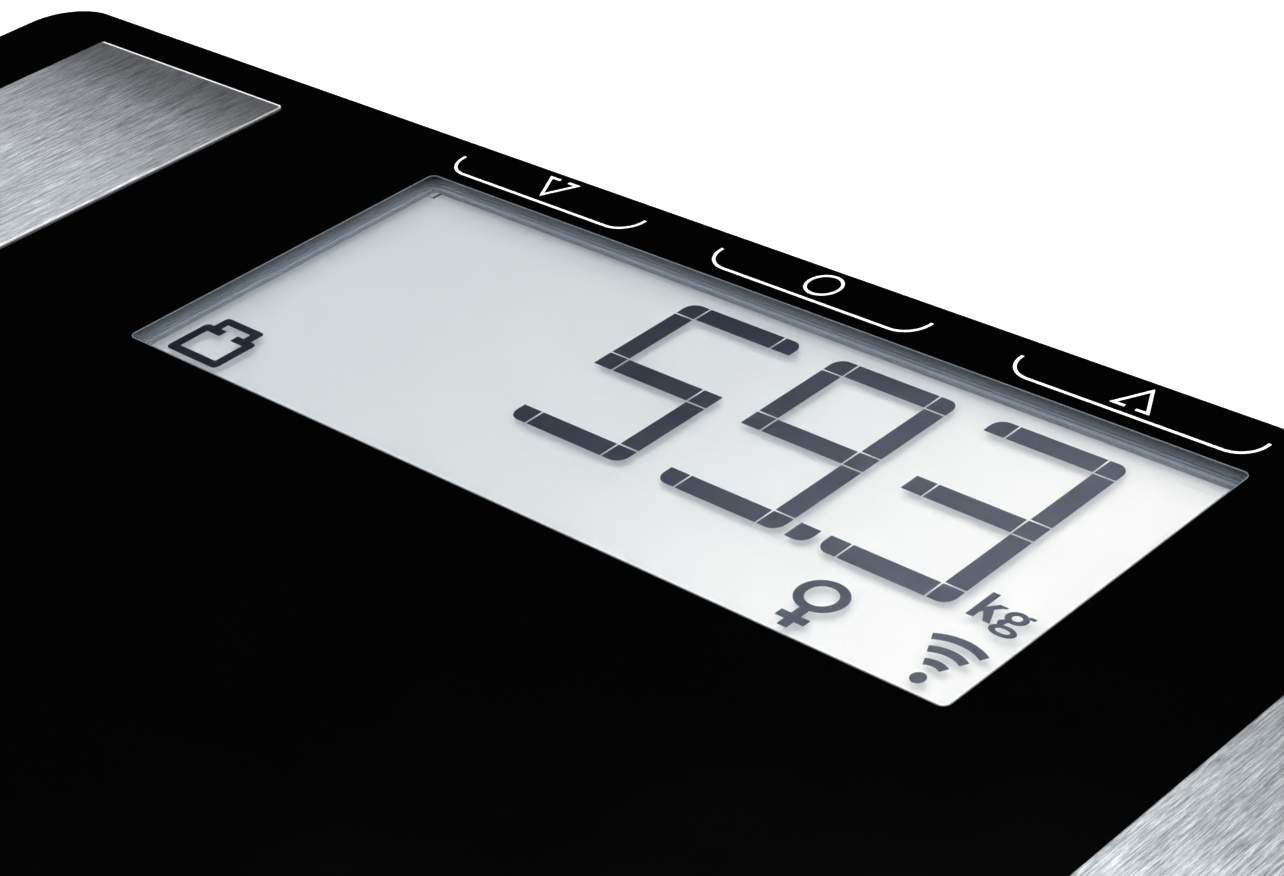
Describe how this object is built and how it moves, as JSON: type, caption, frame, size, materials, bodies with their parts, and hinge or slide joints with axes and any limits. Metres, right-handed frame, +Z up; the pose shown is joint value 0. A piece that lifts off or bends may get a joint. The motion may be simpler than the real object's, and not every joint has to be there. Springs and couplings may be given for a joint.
{
  "type": "digital bathroom scale",
  "caption": "Square glass digital bathroom scale with a display window, three touch keys, steel electrodes and four load-cell feet.",
  "frame": {"origin": "on the floor, under the middle of the square platform", "axes": "+X to the reader's right, +Y to the display edge, +Z up through the platform"},
  "size_m": [0.3, 0.3, 0.0244],
  "materials": {
    "clear_glass": "polished",
    "black_print": "gloss",
    "white_print": "satin",
    "electrode_steel": "brushed",
    "bright_steel": "satin",
    "tinned_brass": "satin",
    "nylon": "satin",
    "bezel_plastic": "satin",
    "lcd_dark": "satin",
    "lcd_reflector": "satin",
    "silicone": "matte",
    "board_laminate": "satin",
    "chip_plastic": "matte",
    "can_metal": "satin",
    "socket_plastic": "satin",
    "polyimide": "gloss",
    "tray_plastic": "matte",
    "tape": "matte",
    "label_paper": "satin",
    "cell_steel": "satin",
    "foot_plastic": "matte",
    "sole_rubber": "matte",
    "battery_sleeve": "gloss",
    "spring_wire": "bright",
    "button_plastic": "satin",
    "lead_pvc": "satin"
  },
  "bodies": {
    "platform": {"glass_platform": "clear_glass", "black_print": "black_print", "key_legends": "white_print", "electrode_studs": "bright_steel", "electrode_bushes": "nylon", "electrode_terminals": "tinned_brass", "electrode_nuts": "bright_steel", "display_frame": "bezel_plastic", "lcd_front_glass": "clear_glass", "lcd_rear_glass": "clear_glass", "lcd_segments": "lcd_dark", "lcd_reflector": "lcd_reflector", "zebra_strips": "silicone", "main_board": "board_laminate", "board_screws": "bright_steel", "controller_chip": "chip_plastic", "radio_module": "can_metal", "timing_crystal": "can_metal", "board_passives": "chip_plastic", "board_sockets": "socket_plastic", "touch_film": "polyimide", "touch_pads": "tinned_brass", "tray": "tray_plastic", "glass_tape": "tape", "info_label": "label_paper", "strain_gauges": "polyimide", "cap_screws": "bright_steel", "battery_cells": "battery_sleeve", "battery_springs": "spring_wire", "battery_contacts": "bright_steel", "unit_switch": "bright_steel", "lead_clips": "nylon", "supply_leads": "lead_pvc", "electrode_leads": "lead_pvc", "load_leads": "lead_pvc", "electrode_rear_left": "electrode_steel", "foot_carrier_rear_left": "foot_plastic", "foot_sole_rear_left": "sole_rubber", "load_cell_rear_left": "cell_steel", "load_cap_rear_left": "tray_plastic", "electrode_rear_right": "electrode_steel", "foot_carrier_rear_right": "foot_plastic", "foot_sole_rear_right": "sole_rubber", "load_cell_rear_right": "cell_steel", "load_cap_rear_right": "tray_plastic", "electrode_front_left": "electrode_steel", "foot_carrier_front_left": "foot_plastic", "foot_sole_front_left": "sole_rubber", "load_cell_front_left": "cell_steel", "load_cap_front_left": "tray_plastic", "electrode_front_right": "electrode_steel", "foot_carrier_front_right": "foot_plastic", "foot_sole_front_right": "sole_rubber", "load_cell_front_right": "cell_steel", "load_cap_front_right": "tray_plastic"},
    "battery_door": {"battery_door": "tray_plastic", "door_latch": "tray_plastic"},
    "unit_button": {"unit_button": "button_plastic", "switch_plunger": "chip_plastic"}
  },
  "joints": [
    {"name": "battery_door_hinge", "type": "hinge", "parent": "platform", "child": "battery_door", "pos_m": [0, 0.0277, 0.0056], "axis": [-1, 0, 0], "range_deg": [0, 95], "deforming": ["door_latch"]},
    {"name": "unit_button_push", "type": "slide", "parent": "platform", "child": "unit_button", "axis": [0, 0, 1], "range_m": [0, 0.0005], "stiffness_N_per_m": 3000}
  ]
}
